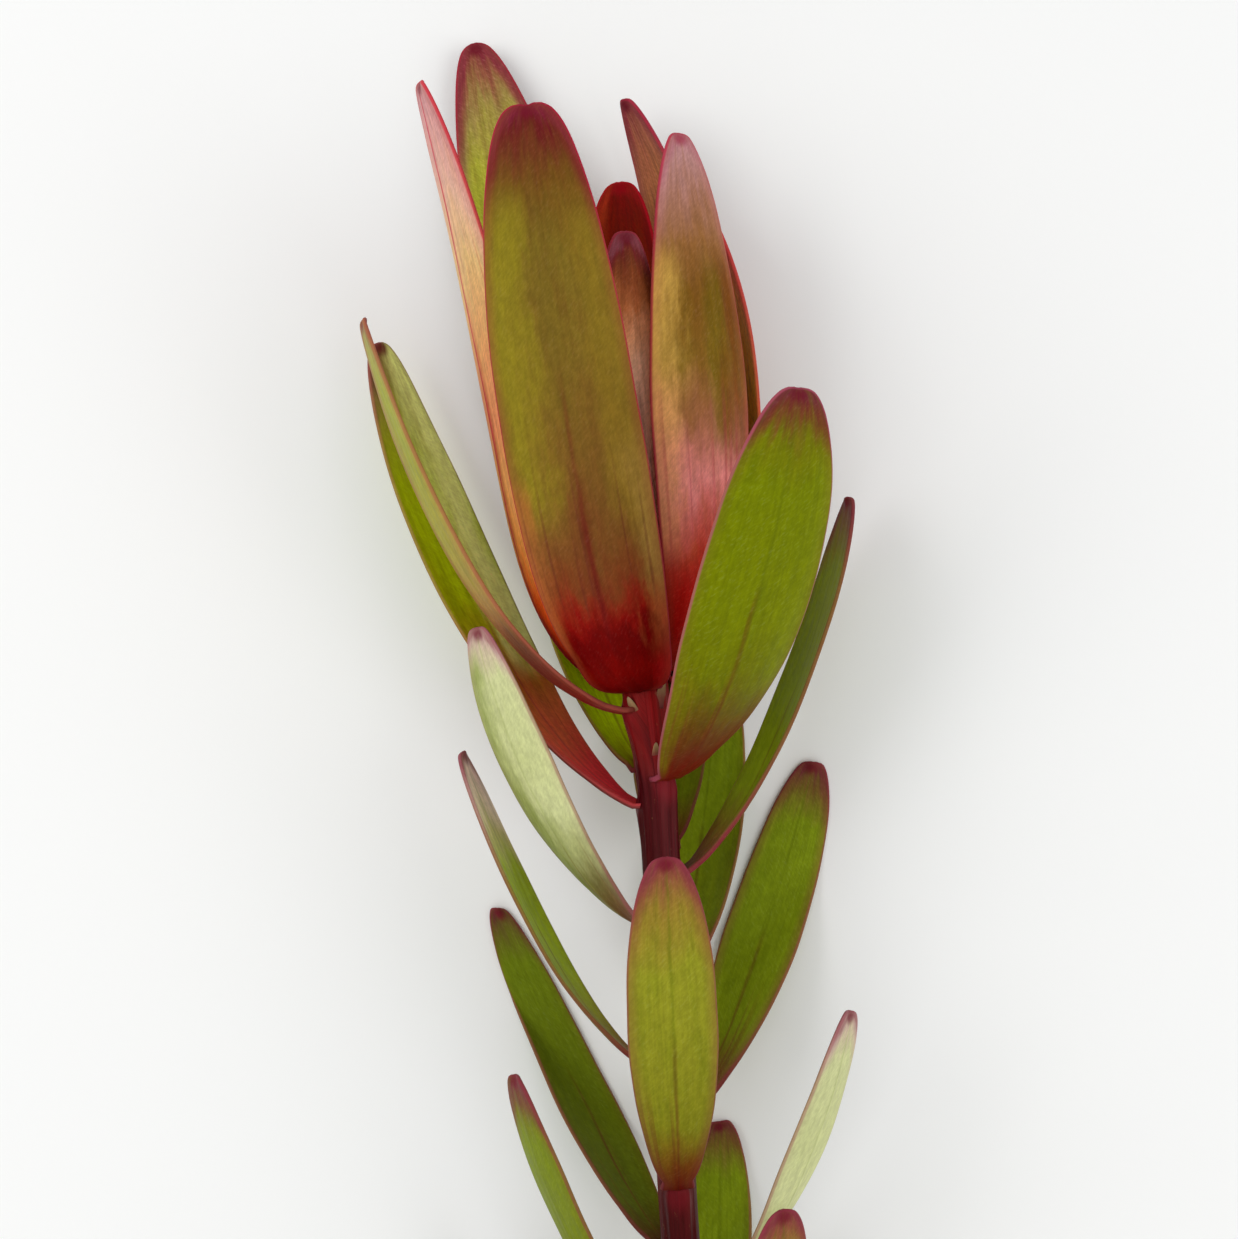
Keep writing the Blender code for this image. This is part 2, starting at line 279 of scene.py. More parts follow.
def tissueMaterial(name, looks, number):
    # colour along the blade from a ramp for each face, moved by patches, then clouds, lengthwise bands, fan
    # streaks, veins, spots, hairs, pale hairs with a painted sheen, the margin's halo and line, and the
    # callus
    def build(tree):
        place = addNode(tree, "Attribute", out=1, attribute_name="place")
        rim = addNode(tree, "Attribute", out=1, attribute_name="rim")
        acrossMm, alongMm, share = addNode(tree, "SeparateXYZ", place).node.outputs
        rimMm, acrossShare, isInner = addNode(tree, "SeparateXYZ", rim).node.outputs
        fibreMm = addNode(tree, "Math", acrossShare, looks["half"], **product)
        face = addNode(tree, "Math", isInner, tissue["faceStep"], **product)
        fibre = addNode(tree, "CombineXYZ", fibreMm, alongMm, face)
        offset = [step * number for step in tissue["pieceStep"]]
        noises = {}
        for label, pattern in tissue["patterns"].items():
            noises[label] = stretchedNoise(tree, fibre, *pattern, offset)
        slanted = addNode(tree, "VectorRotate", place, None, tissue["hairSlant"], rotation_type="Z_AXIS")
        hair = stretchedNoise(tree, slanted, *tissue["hair"])

        sway = addNode(tree, "MapRange", noises["patch"], *noiseSpan, -1.0, 1.0, **smooth)
        moved = addNode(tree, "Math", sway, looks["drift"], share, **productSum)
        pull = addNode(tree, "MapRange", rimMm, 0.0, tissue["pullWidth"], looks["marginPull"], 0.0, **smooth)
        upper = addNode(tree, "MapRange", share, *tissue["pullShares"], 0.0, 1.0, **smooth)
        front = addNode(tree, "Math", pull, upper, moved, **productSum)
        outer = addNode(tree, "ValToRGB", front, stops=looks["outer"])
        inner = addNode(tree, "ValToRGB", front, stops=looks["inner"])
        colour = addNode(tree, "Mix", isInner, outer, inner, **tint)

        aboveFoot = addNode(tree, "MapRange", share, *tissue["blushShares"], 0.0, 1.0, **smooth)
        clouds = (noises["blush"], *tissue["blushSpan"], 0.0, looks["blush"], aboveFoot)
        colour = tinted(tree, colour, looks["blushColour"], *clouds)
        fade = tissue["bandEnd"]
        for centre, width, start, end, code, strength in looks["bands"]:
            aside = addNode(tree, "Math", sway, tissue["bandSway"] * width, acrossShare, **productSum)
            aside = addNode(tree, "Math", addNode(tree, "Math", aside, -centre), operation="ABSOLUTE")
            along = window(tree, share, start - fade, start, end, end + fade)
            colour = tinted(tree, colour, code, aside, 0.0, width, strength, 0.0, along)
        fan = looks["fan"]
        starts = [fan["from"] + step for step in tissue["fanStart"]]
        along = window(tree, share, *starts, fan["to"] - tissue["fanEnd"], fan["to"])
        streaks = (noises["fan"], *tissue["fanSpan"], 0.0, fan["strength"], along)
        colour = tinted(tree, colour, fan["colour"], *streaks)

        for noise, depth in (
            (noises["vein"], looks["veins"]), (noises["mottle"], tissue["mottle"]), (hair, looks["grain"]),
        ):
            colour = shaded(tree, colour, noise, 1.0 - depth, 1.0 + depth, **smooth)
        # pale hairs: partly their own pale colour, partly a painted sheen where they catch the light
        colour = tinted(tree, colour, looks["silkColour"], hair, *tissue["silkSpan"], 0.0, looks["silk"])

        colour = tinted(tree, colour, looks["haloColour"], rimMm, *tissue["halo"], looks["halo"], 0.0)
        colour = tinted(tree, colour, looks["margin"], rimMm, *tissue["marginLine"], looks["line"], 0.0)
        tipMm = tissue["callusPlace"] - looks["length"]
        tipMm = addNode(tree, "Math", share, looks["length"], tipMm, **productSum)
        away = addNode(tree, "CombineXYZ", acrossMm, tipMm, 0.0)
        away = addNode(tree, "VectorMath", away, operation="LENGTH")
        colour = tinted(
            tree, colour, looks["callus"], away, *tissue["callus"], looks["callusStrength"], 0.0,
        )

        height = addNode(tree, "Math", hair, tissue["hairHeight"], noises["vein"], **productSum)
        return {
            "Base Color": colour,
            "Roughness": addNode(tree, "MapRange", noises["mottle"], *noiseSpan, *tissue["roughness"]),
            "Normal": addNode(tree, "Bump", *tissue["bump"], None, height),
        }

    return finishMaterial(name, build, **tissue["shader"])


def lookOf(**changes):
    # a blade's colours, with what is not given taken from an olive bract; bands are (centre across,
    # half width, start, end, colour, strength), with across from -1 to 1 and the rest in shares
    looks = {
        "outer": [
            (0.0, "#5a0305"), (0.1, "#6e0706"), (0.18, "#7d2414"), (0.3, "#7a421e"),
            (0.5, "#7c5c20"), (0.8, "#7a6220"), (0.9, "#6c3424"), (1.0, "#6a2030"),
        ],
        "inner": [
            (0.0, "#701a0c"), (0.2, "#8c4a1a"), (0.5, "#948226"), (0.8, "#8c8a2a"), (0.93, "#84502e"),
            (1.0, "#78222e"),
        ],
        "bands": [(0.0, 0.1, 0.1, 0.6, "#641c28", 0.5)],
        "fan": {"colour": "#66202a", "from": 0.14, "to": 0.6, "strength": 0.5},
        "blush": 0.35,
        "blushColour": "#70401c",
        "margin": "#a82038",
        "line": 0.65,
        "haloColour": "#84303a",
        "halo": 0.35,
        "callus": "#6c0c24",
        "callusStrength": 0.75,
        "drift": 0.03,
        "marginPull": 0.08,
        "veins": 0.1,
        "grain": 0.1,
        "silk": 0.05,
        "silkColour": "#e0b8a8",
    }
    looks.update(changes)
    return looks


# leaves and bracts

bladeShape = {
    "thickness": 0.62,
    "footThickness": 0.86,
    "footReach": 7.0,  # over which the foot's thickness fades
    "rimWidth": 0.34,  # over which the margin is rounded
    "gap": 0.55,  # from the stem to the middle of a CAD blade's foot
    "sunk": 0.35,  # share of the way to the stem's axis that the foot goes on
    "tipHalfWidth": 0.5,
    "tipRound": 0.012,  # share of the length over which the very tip is rounded
    "lastShare": 0.9994,  # of the last row
    "crowding": 0.085,  # of the rows towards both ends
    "steps": 400,  # of the centreline
    "flatFoot": 9.0,  # mm over which the foot takes up the blade's curl
    "leastCurl": 0.15,  # share of it that the foot has
    "leastReach": 6.0,  # from the stem's axis, for the curl
    "flatShare": 0.45,  # of the length, from where the blade's own hug holds
    "twistShare": 0.625,  # of the length, where the twist is full
    "softness": 2.5,  # mm over which a blade comes down on the table
    "cadThickness": 0.9,
    "midrib": 0.13,
    "ribHalfWidth": 0.7,
    "ribTaper": 0.8,
    "ribInside": 0.6,  # share of its height that shows on the inner face
    "flute": 0.03,  # lengthwise fluting between the veins
    "fluteSpacing": 2.3,
    "fluteEdge": 0.5,  # mm of plain margin
    "steady": (4, 8),  # the waves fade out over a quarter at the foot and an eighth at the tip
    "wave": 0.055,  # slow waves of the surface
    "waves": ((11, 1.7, 1.0), (19, -2.6, 0.7)),  # radians along, radians to the margin, height
    "marginWave": 0.11,  # mm that the margin is drawn in
    "marginSway": 0.4,  # share of it that comes and goes
    "marginWaves": ((17, 1.0), (31, 0.6)),  # radians along, height
    "notch": 0.35,  # the callous point is drawn in and down
    "hook": 0.55,
    "hookReach": (1.6, 1.3),  # along and across
}


def halfWidth(blade, shares):
    # share^rise * (1 - share)^fall, scaled to half the width at its widest, and not under the foot's half
    # width times (1 - share)^3, plus the tip's half width times sqrt((1 - share) / tipRound) up to 1
    widest = blade["rise"] / (blade["rise"] + blade["fall"])
    peak = widest ** blade["rise"] * (1 - widest) ** blade["fall"]
    half = blade["width"] / 2 * shares ** blade["rise"] * (1 - shares) ** blade["fall"] / peak
    ending = np.sqrt(np.clip((1 - shares) / bladeShape["tipRound"], 0.0, 1.0))
    return np.maximum(half, blade["footWidth"] / 2 * (1 - shares) ** 3) + bladeShape["tipHalfWidth"] * ending


def pressed(height):
    # heights kept half a CAD thickness above the table, with a parabola where a blade comes down to it
    low, soft = bladeShape["cadThickness"] / 2, bladeShape["softness"]
    bend = low + (height - low + soft) ** 2 / (4 * soft)
    return np.where(height < low - soft, low, np.where(height > low + soft, height, bend))


def bladeSurface(blade, across, shares):
    # the middle surface: a centreline that leaves the stem at the foot angle, settles to the middle angle
    # over the turn and ends at the tip angle, with an arc of hug / reach across it
    shape = bladeShape
    fine = np.linspace(0.0, 1.0, shape["steps"] + 1)
    opening = blade["mid"] + (blade["tip"] - blade["mid"]) * fine**2
    opening += (blade["foot"] - blade["mid"]) * np.exp(-fine * blade["length"] / blade["turn"])
    opening, sideways = np.radians(opening), np.radians(blade["lean"]) * fine
    origin, along, up, right = axisFrame(np.float64(blade["footY"]))
    azimuth = math.radians(blade["azimuth"])
    out = math.cos(azimuth) * up + math.sin(azimuth) * right
    side = np.cross(along, out)
    heading = (
        np.outer(np.cos(opening) * np.cos(sideways), along)
        + np.outer(np.sin(opening) * np.cos(sideways), out)
        + np.outer(np.sin(sideways), side)
    )
    step = blade["length"] / shape["steps"]
    foot = origin + out * (stemRadius(blade["footY"]) + shape["gap"])
    middle = foot + np.vstack([np.zeros(3), np.cumsum((heading[1:] + heading[:-1]) / 2 * step, axis=0)])
    reach = (middle - origin) @ out

    def at(values):
        # each column of the fine centreline, read at the shares
        return np.stack([np.interp(shares, fine, column) for column in values.T], axis=1)

    heading, middle = at(heading), at(middle)
    reach = np.interp(shares, fine, reach)
    edge = side - heading * (heading @ side)[:, None]
    edge /= np.linalg.norm(edge, axis=1)[:, None]
    outward = np.cross(edge, heading)
    turned = np.sin(np.minimum(shares / shape["twistShare"], 1.0) * math.pi / 2)
    twist = (np.radians(blade["twist"]) * turned)[:, None]
    edge, outward = (
        edge * np.cos(twist) + outward * np.sin(twist),
        outward * np.cos(twist) - edge * np.sin(twist),
    )
    hug = 1.0 + (blade["hug"] - 1.0) * smoothStep(shares / shape["flatShare"])
    grown = smoothStep(shares * blade["length"] / shape["flatFoot"])
    hug *= shape["leastCurl"] + (1 - shape["leastCurl"]) * grown
    curl = (hug / np.maximum(reach, shape["leastReach"]))[:, None]
    sidewards = np.sin(curl * across) / curl
    inward = (1 - np.cos(curl * across)) / curl
    grid = middle[:, None] + sidewards[..., None] * edge[:, None] - inward[..., None] * outward[:, None]
    grid[..., 2] = pressed(grid[..., 2])
    return grid, heading, outward


def addBlade(blade, node, material, slot, seed):
    # two faces, half a thickness either side of the middle surface, that close round the margin;
    # the thickness ends in a quarter ellipse over the rim's width
    shape = bladeShape
    phases = np.random.default_rng(seed).uniform(0.0, 2 * math.pi, 4)
    cells, rows = blade["cells"]
    even = np.linspace(0.0, 1.0, rows + 1)
    shares = (even - shape["crowding"] * np.sin(2 * math.pi * even)) * shape["lastShare"]
    alongMm = (shares * blade["length"])[:, None]
    tipMm = ((1 - shares) * blade["length"])[:, None]
    spread = np.sin(np.linspace(-math.pi / 2, math.pi / 2, cells + 1))
    half = halfWidth(blade, shares)
    atFoot, atTip = shape["steady"]
    free = smoothStep(shares * atFoot) * smoothStep((1 - shares) * atTip)
    waves = [
        part * np.sin(shares * radians + phase)
        for (radians, part), phase in zip(shape["marginWaves"], phases[:2])
    ]
    half = half - shape["marginWave"] * free * (1 + shape["marginSway"] * sum(waves))
    acrossMm = half[:, None] * spread[None, :]
    grid, heading, outward = bladeSurface(blade, acrossMm, shares)

    slope = np.gradient(half, shares * blade["length"])
    rimMm = (half[:, None] - np.abs(acrossMm)) / np.sqrt(1 + slope**2)[:, None]
    rimMm = np.maximum(np.minimum(rimMm, tipMm), 0.0)
    normal = np.cross(np.gradient(grid, axis=1), np.gradient(grid, axis=0))
    normal /= np.maximum(np.linalg.norm(normal, axis=2, keepdims=True), 1e-12)
    normal *= np.sign((normal * outward[:, None]).sum(axis=2, keepdims=True))

    waves = [
        part * np.sin(shares[:, None] * radians + phase + spread * across)
        for (radians, across, part), phase in zip(shape["waves"], phases[2:])
    ]
    hookAlong, hookAcross = shape["hookReach"]
    hooked = bell(tipMm, hookAlong) * bell(acrossMm, hookAcross)
    lift = shape["wave"] * sum(waves) * free[:, None] - shape["hook"] * hooked
    grid = grid + normal * lift[..., None] - heading[:, None] * (shape["notch"] * hooked)[..., None]

    atStem = bell(alongMm, shape["footReach"])
    full = (shape["thickness"] + (shape["footThickness"] - shape["thickness"]) * atStem) / 2
    rounded = np.sqrt(1 - (1 - np.clip(rimMm / shape["rimWidth"], 0.0, 1.0)) ** 2)
    rib = shape["midrib"] * bell(acrossMm, shape["ribHalfWidth"]) * (1 - shape["ribTaper"] * shares[:, None])
    flute = shape["flute"] * np.cos(acrossMm * 2 * math.pi / shape["fluteSpacing"])
    flute = flute * smoothStep(rimMm - shape["fluteEdge"])
    outer = grid + normal * ((full + rib + flute) * rounded)[..., None]
    inner = grid - normal * ((full - shape["ribInside"] * rib + flute) * rounded)[..., None]

    def bothFaces(first, second):
        # the outer face's columns, then the inner face's in turn, and the first row again for the sunk foot
        loop = np.concatenate([first, second[:, -2:0:-1]], axis=1)
        return np.concatenate([loop[:1], loop], axis=0)

    loop = bothFaces(outer, inner)
    sunk = axisPoint(np.float64(blade["footY"])) - loop[0].mean(axis=0)
    loop[0] += sunk * shape["sunk"]
    place = sideBySide(acrossMm, alongMm, shares[:, None])
    rim = sideBySide(rimMm, spread[None, :], 0.0)
    place, rim = bothFaces(place, place), bothFaces(rim, rim)
    rim[:, cells + 1:, 2] = 1.0
    rim[:, [0, cells], 2] = 0.5
    faces = closedTube(rows + 2, 2 * cells)
    addPiece(node + "_blade", loop, faces, material, slot, (node,), place=place, rim=rim)


# the head's bracts, outermost first, in the order of the CAD rows

bractRows = {
    "names": (
        "azimuth", "length", "width", "mid", "tip", "turn", "lean", "twist", "hug", "rise", "fall",
    ),
    "firstY": 0.4,
    "step": 0.85,
    "firstFoot": 6.6,
    "footStep": 0.22,
    "footAngle": 82.0,
    "fineCells": (40, 150),
    "plainCells": (28, 100),
    "seed": 100,  # plus the bract's rank
    "fine": {"bract_front", "bract_right", "bract_left", "bract_back_left", "bract_right_rear"},
}

bracts = [
    ("bract_front", (-17.5, 91.5, 20.7, 12, 3.5, 9.2, 2.5, -12, 0.97, 0.28, 0.38), lookOf(
        outer=[
            (0.0, "#740304"), (0.06, "#880303"), (0.11, "#740103"), (0.15, "#700104"), (0.173, "#880a08"),
            (0.196, "#8c2614"), (0.222, "#7f3a1b"), (0.28, "#7b4a20"), (0.36, "#7c5622"), (0.5, "#7a5a20"),
            (0.62, "#7c6420"), (0.77, "#78621e"), (0.87, "#704c18"), (0.92, "#6c341c"), (0.96, "#681a1c"),
            (1.0, "#741c30"),
        ],
        bands=[
            (-0.66, 0.62, 0.4, 0.8, "#8a7c1a", 0.85),
            (0.72, 0.5, 0.36, 0.78, "#8a701e", 0.6),
            (-0.05, 0.3, 0.55, 0.82, "#6e581c", 0.5),
            (-0.06, 0.36, 0.24, 0.36, "#70341c", 0.5),
            (0.0, 0.1, 0.2, 0.32, "#660c12", 0.7),
            (-0.01, 0.06, 0.34, 0.5, "#6c2a1c", 0.45),
            # these two bands lighten both sides low on the bract: painted light against the shade of the
            # neighbouring bracts
            (-1.0, 0.4, 0.12, 0.34, "#bc6c34", 0.8),
            (1.0, 0.5, 0.16, 0.4, "#b08840", 0.7),
            (1.0, 0.5, 0.0, 0.14, "#c81c20", 0.6),
            (-1.0, 0.4, 0.0, 0.1, "#b41c14", 0.5),
        ],
        fan={"colour": "#5e1a1c", "from": 0.2, "to": 0.5, "strength": 0.4},
        margin="#ae1e3c", line=0.85, haloColour="#9c4434", halo=0.3, blush=0.35, blushColour="#6e401a",
        silk=0.02, veins=0.05, grain=0.07,
    )),
    ("bract_right_rear", (119.5, 84, 20, 16.5, -20, 8.7, 0, 0, 0.8, 0.35, 0.5), lookOf(
        outer=[
            (0.0, "#560204"), (0.15, "#84120a"), (0.3, "#9c420e"), (0.5, "#9a4c0a"), (0.72, "#8e4418"),
            (0.88, "#8a2c24"), (1.0, "#7c1c30"),
        ],
        # the inner ramp is far lighter and more orange than the tissue: painted light on a face that
        # bract_right shades
        inner=[
            (0.0, "#b8180c"), (0.3, "#f08828"), (0.6, "#fcb840"), (0.74, "#fcac60"), (0.84, "#dc7850"),
            (1.0, "#a42c3c"),
        ],
        halo=0.1, haloColour="#c8502c", margin="#d84448",
    )),
    ("bract_left", (-80, 99, 22, 2.2, 8.8, 10.1, 8, -6.5, 1.1, 0.42, 0.54), lookOf(
        # the stops from 0.18 to 0.47 are painted lighter than the tissue: painted light on the strip that
        # bract_front shades
        outer=[
            (0.0, "#8e0608"), (0.1, "#c42414"), (0.18, "#f85a1c"), (0.27, "#f8a04c"), (0.38, "#f0a860"),
            (0.47, "#e48e60"), (0.58, "#dea062"), (0.7, "#dcb676"), (0.82, "#daab91"), (0.93, "#d09592"),
            (1.0, "#bc8488"),
        ],
        bands=[
            (0.0, 0.1, 0.05, 1.1, "#c02440", 0.9),
            (-0.7, 0.2, 0.0, 1.1, "#b8483c", 0.4),
        ],
        fan={"colour": "#b84030", "from": 0.1, "to": 0.9, "strength": 0.35},
        margin="#d4283c", line=0.8, haloColour="#d06450", halo=0.25, blush=0.25, blushColour="#d89468",
    )),
    ("bract_right", (59.5, 84.5, 18.8, 5.5, -1, 7.7, -1, 22, 0.62, 0.42, 0.59), lookOf(
        outer=[
            (0.0, "#940404"), (0.1, "#b00604"), (0.17, "#b40e0a"), (0.23, "#b82c20"), (0.3, "#cc5c54"),
            (0.37, "#e48480"), (0.43, "#dc8076"), (0.5, "#a66844"), (0.58, "#84641c"), (0.7, "#755010"),
            (0.79, "#986638"), (0.88, "#aa7560"), (0.96, "#bc8884"), (1.0, "#b87e86"),
        ],
        bands=[
            (-0.85, 0.6, 0.5, 0.72, "#d8aa50", 0.85),
            (-0.1, 0.3, 0.44, 0.75, "#845420", 0.4),
            (0.36, 0.4, 0.48, 0.7, "#72620a", 0.6),
            (0.75, 0.6, 0.43, 0.72, "#78400c", 0.8),
            (-0.9, 0.6, 0.3, 0.5, "#e89c64", 0.7),
        ],
        fan={"colour": "#a83440", "from": 0.24, "to": 0.6, "strength": 0.4},
        margin="#bc2444", line=0.8, haloColour="#b45440", halo=0.25, veins=0.06, grain=0.08, silk=0.04,
        blush=0.3, blushColour="#84541c", callus="#a03048",
    )),
    ("bract_under", (184, 82, 19, 15.5, -11, 7.2, 0, 0, 1.0, 0.38, 0.5), lookOf(
        bands=[(-0.5, 0.4, 0.26, 0.82, "#86801a", 0.7), (0.0, 0.12, 0.18, 0.6, "#6c2030", 0.6)],
    )),
    ("bract_inner_left", (-45, 70, 14, 2.5, 0, 6.7, 0, 0, 1.0, 0.44, 0.5), lookOf(
        outer=[(0.0, "#560204"), (0.3, "#84180e"), (0.6, "#82401c"), (0.85, "#762e24"), (1.0, "#6e2434")],
    )),
    ("bract_back_right", (120, 95.3, 17, 12.5, -19.5, 6.2, 8.7, 0, 0.85, 0.42, 0.6), lookOf(
        inner=[
            (0.0, "#6a1008"), (0.3, "#a85424"), (0.6, "#c07c4c"), (0.84, "#c0784a"), (0.93, "#a85e48"),
            (1.0, "#8c343a"),
        ],
        veins=0.2, blush=0.5, blushColour="#84503a", margin="#b42444", haloColour="#984450", halo=0.25,
    )),
    ("bract_back_left", (-155, 107, 19.5, 8, 5, 5.7, 6, 24, 0.7, 0.35, 0.5), lookOf(
        inner=[
            (0.0, "#6a1a0a"), (0.3, "#8a6a14"), (0.6, "#9ca81e"), (0.8, "#b2b03a"), (0.9, "#a08948"),
            (0.955, "#945640"), (1.0, "#86303a"),
        ],
        halo=0.3, marginPull=0.1, haloColour="#8e4444", silk=0.1, grain=0.12,
    )),
    ("bract_inner_front", (21.5, 64, 13, 0.5, 10, 5.2, 0, 0, 0.9, 0.4, 0.52), lookOf(
        # the near-white pink from 0.3 to 0.76 is painted light on the strip shaded between bract_front and
        # bract_right
        outer=[
            (0.0, "#9c1c14"), (0.3, "#fcb09c"), (0.6, "#fcc0a0"), (0.7, "#fcbc98"), (0.76, "#eca074"),
            (0.82, "#b8683c"), (0.88, "#8c4424"), (0.93, "#783020"), (0.965, "#762026"), (1.0, "#84404c"),
        ],
        silk=0.05, halo=0.15, haloColour="#983c48",
    )),
    ("bract_inner_right", (94, 60, 9.5, 4.4, 0, 4.7, 0, 0, 1.0, 0.44, 0.5), lookOf(
        outer=[(0.0, "#560204"), (0.4, "#8a2010"), (0.8, "#802420"), (1.0, "#741c30")],
    )),
    ("bract_small_left", (-88, 58, 12, 2.5, 0, 4.2, 0, 0, 1.0, 0.42, 0.5), lookOf(
        outer=[(0.0, "#560204"), (0.4, "#922010"), (0.8, "#861818"), (1.0, "#781226")],
    )),
    ("bract_small_right", (54, 50, 10.5, 1, 0, 3.7, 0, 0, 1.0, 0.44, 0.5), lookOf(
        outer=[(0.0, "#560204"), (0.4, "#962614"), (0.8, "#8a1c1a"), (1.0, "#781428")],
    )),
    ("bract_inner_back", (165, 73, 16, 4.5, 3, 3.2, -4.5, 0, 0.9, 0.4, 0.48), lookOf(
        inner=[
            (0.0, "#560a04"), (0.4, "#963e0a"), (0.7, "#923406"), (0.8, "#841c04"), (0.88, "#720804"),
            (0.96, "#760408"), (1.0, "#900814"),
        ],
        outer=[(0.0, "#560204"), (0.4, "#982010"), (1.0, "#9a0c1a")],
        bands=[(0.75, 0.5, 0.6, 0.94, "#b03c18", 0.6)],
        margin="#b80c24", haloColour="#90060e", halo=0.25, callus="#9c0818", silk=0.0,
        blush=0.2, blushColour="#8c2c08",
    )),
]


def addBracts():
    # each further bract starts higher on the receptacle and has a narrower foot
    rules = bractRows
    for rank, (node, row, looks) in enumerate(bracts):
        blade = dict(zip(rules["names"], row))
        blade["footY"] = rules["firstY"] + rules["step"] * rank
        blade["footWidth"] = rules["firstFoot"] - rules["footStep"] * rank
        blade["foot"] = rules["footAngle"]
        blade["cells"] = rules["fineCells" if node in rules["fine"] else "plainCells"]
        looks.update(length=blade["length"], half=blade["width"] / 2)
        slot = "inner_bract" if "inner" in node or "small" in node else "outer_bract"
        material = tissueMaterial(node + " waxy bract tissue", looks, rank)
        addBlade(blade, node, material, slot, rules["seed"] + rank)
    print("bracts made:", len(bracts))


# the stem's leaves: ten placed one by one beside the head, and twenty on a golden-angle spiral below

leafRows = {
    "names": ("azimuth", "footY", "length", "width", "foot", "mid", "tip", "turn", "lean", "twist"),
    "shape": {"hug": 0.8, "rise": 0.6, "fall": 0.5, "footWidth": 4.2},
    "goldenAngle": 137.5,
    "spiralCount": 20,
    "spiralStart": -66.0,
    "pitch": 9.6,
    "length": 60.0,
    "width": 13.2,
    "taper": 0.012,  # share of its size that each next leaf loses
    "foot": 58.0,
    "mid": 30.0,
    "tip": 16.0,
    "turn": 9.0,
    "variation": (9, 1.2, 6, 1.3, 6, 6, 22),  # azimuth, foot y, length, width, foot, mid and twist
    "tipVariation": 1.5,  # times the middle angle's
    "seed": 7,
    "bladeSeed": 200,  # plus the leaf's number
    "patternShift": 13,  # the bracts' patterns come first
    "tonePatterns": 31,  # from here on
    "toneSteps": (3, 4),  # a leaf's tone is step * number, moved on by one every so many leaves
    "fineCells": (36, 130),
    "plainCells": (24, 80),
}

greenLeaf = {
    "outer": [
        (0.0, "#601410"), (0.08, "#682c14"), (0.17, "#6c5c10"), (0.3, "#727c04"), (0.82, "#748204"),
        (0.89, "#72700c"), (0.94, "#724224"), (1.0, "#702c34"),
    ],
    "inner": [
        (0.0, "#681c10"), (0.1, "#745018"), (0.25, "#7c8c10"), (0.82, "#7e9014"), (0.93, "#78582a"),
        (1.0, "#6e2c34"),
    ],
    "bands": [(0.0, 0.08, 0.0, 0.45, "#6a2818", 0.5), (0.0, 0.07, 0.4, 0.9, "#5e6c06", 0.35)],
    "fan": {"colour": "#6c2c18", "from": 0.02, "to": 0.42, "strength": 0.4},
    "margin": "#8e3446",
    "line": 0.55,
    "haloColour": "#78501c",
    "halo": 0.15,
    "blush": 0.3,
    "blushColour": "#667404",
    "veins": 0.07,
    "grain": 0.07,
    "silk": 0.04,
    "silkColour": "#c8d0a0",
    "marginPull": 0.05,
}
paleLeaf = {
    **greenLeaf,
    "outer": [
        (0.0, "#74281c"), (0.1, "#74502c"), (0.2, "#7c7240"), (0.3, "#b0b274"), (0.42, "#d0d398"),
        (0.6, "#cace90"), (0.85, "#cacd94"), (0.93, "#cab89a"), (0.975, "#bc9890"), (1.0, "#a0686c"),
    ],
    "bands": [(0.0, 0.07, 0.0, 0.9, "#a8b068", 0.45)],
    "blushColour": "#b4ba7c",
    "blush": 0.15,
    "veins": 0.04,
    "grain": 0.06,
    "haloColour": "#c0a890",
    "margin": "#9c505c",
}


def leafLook(base=greenLeaf, **changes):
    # a leaf's colours: the base's, with the changes
    return lookOf(**{**base, **changes})


